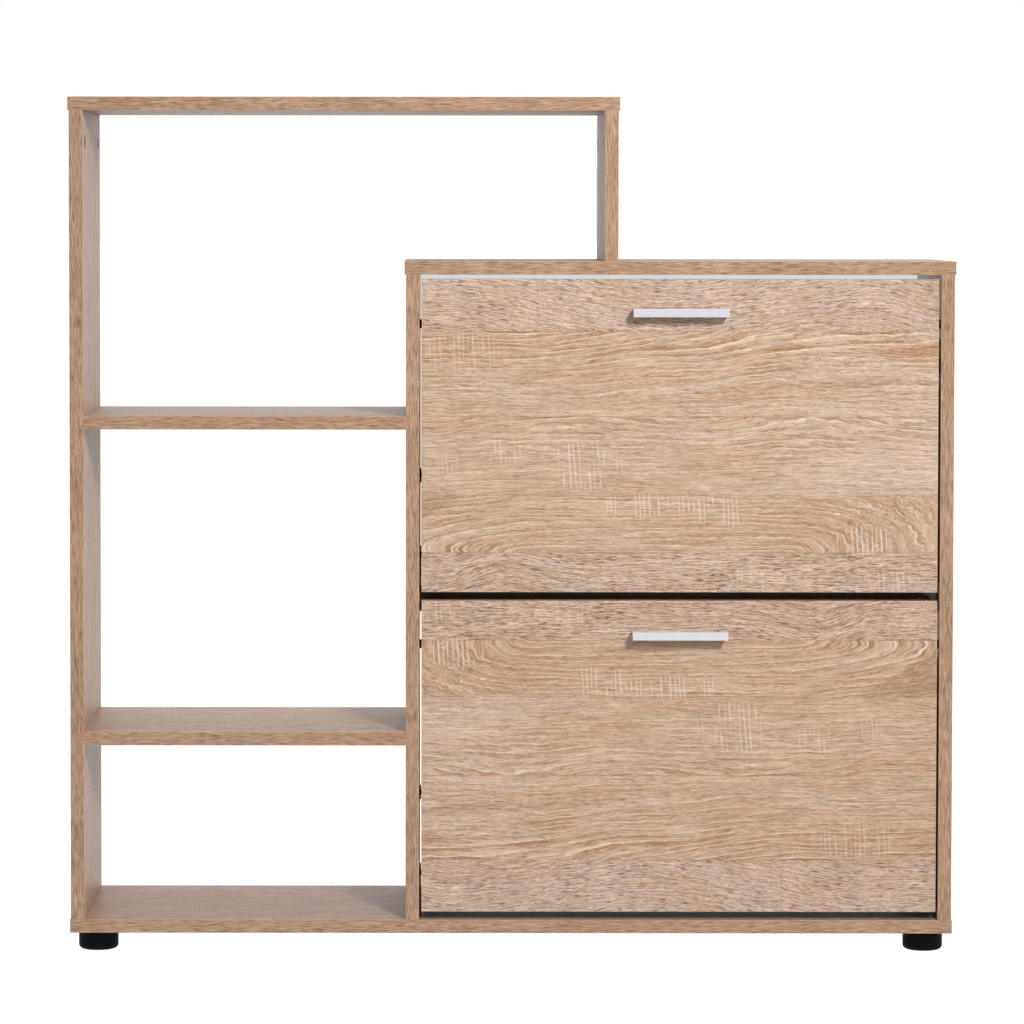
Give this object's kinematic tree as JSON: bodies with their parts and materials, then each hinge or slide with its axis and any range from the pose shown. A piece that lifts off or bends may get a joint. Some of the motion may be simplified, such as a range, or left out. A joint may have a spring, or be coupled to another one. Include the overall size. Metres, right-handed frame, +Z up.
{
  "type": "shoe cabinet",
  "caption": "Shoe cabinet with a tall open shelf frame at the left and two tilt-out flap doors with inner shoe racks at the right, on round feet.",
  "frame": {"origin": "on the floor under the middle of the whole object's box, doors closed", "axes": "+X to the right as seen from the front, +Y to the back, +Z up"},
  "size_m": [0.979, 0.267, 0.947],
  "materials": {
    "oak_board": "melamine foil with a sanded sonoma oak print, matt",
    "oak_door": "melamine foil with a sanded sonoma oak print, grain across the door, matt",
    "zinc_steel": "zinc plated",
    "black_steel": "black powder coat",
    "cast_zinc": "die cast, dull",
    "beech_dowel": "bare fluted beech",
    "foot_plastic": "moulded black, smooth",
    "black_plastic": "moulded black, lightly grained",
    "satin_aluminium": "satin anodised"
  },
  "bodies": {
    "carcass": {"bottom_board": "oak_board", "left_side_panel": "oak_board", "middle_panel": "oak_board", "right_side_panel": "oak_board", "cabinet_top_board": "oak_board", "tall_top_board": "oak_board", "short_upright": "oak_board", "upper_shelf": "oak_board", "lower_shelf": "oak_board", "middle_rail": "oak_board", "foot_front_left": "foot_plastic", "foot_front_right": "foot_plastic", "foot_rear_left": "foot_plastic", "foot_rear_right": "foot_plastic", "foot_screws": "zinc_steel", "top_cams": "cast_zinc", "top_cam_bolts": "zinc_steel", "shelf_cams": "cast_zinc", "shelf_cam_bolts": "zinc_steel", "rail_cams": "cast_zinc", "rail_cam_bolts": "zinc_steel", "dowels": "beech_dowel", "base_screws": "zinc_steel", "upright_screws": "zinc_steel", "upper_left_bracket": "black_steel", "upper_right_bracket": "black_steel", "lower_left_bracket": "black_steel", "lower_right_bracket": "black_steel", "bracket_screws": "zinc_steel", "pivot_clips": "zinc_steel", "stop_pins": "black_steel", "closing_pegs": "black_plastic"},
    "upper_flap": {"upper_door": "oak_door", "upper_handle": "satin_aluminium", "upper_handle_screws": "zinc_steel", "upper_rack_left_side": "black_plastic", "upper_rack_right_side": "black_plastic", "upper_rack_floor": "black_plastic", "upper_rack_divider": "black_plastic", "upper_rack_rear": "black_plastic", "upper_rack_screws": "zinc_steel"},
    "lower_flap": {"lower_door": "oak_door", "lower_handle": "satin_aluminium", "lower_handle_screws": "zinc_steel", "lower_rack_left_side": "black_plastic", "lower_rack_right_side": "black_plastic", "lower_rack_floor": "black_plastic", "lower_rack_divider": "black_plastic", "lower_rack_rear": "black_plastic", "lower_rack_screws": "zinc_steel"}
  },
  "joints": [
    {"name": "upper_flap_tilt", "type": "hinge", "parent": "carcass", "child": "upper_flap", "pos_m": [0.1855, -0.0825, 0.4408], "axis": [1, 0, 0], "range_deg": [0, 45]},
    {"name": "lower_flap_tilt", "type": "hinge", "parent": "carcass", "child": "lower_flap", "pos_m": [0.1855, -0.0825, 0.0855], "axis": [1, 0, 0], "range_deg": [0, 45]}
  ]
}
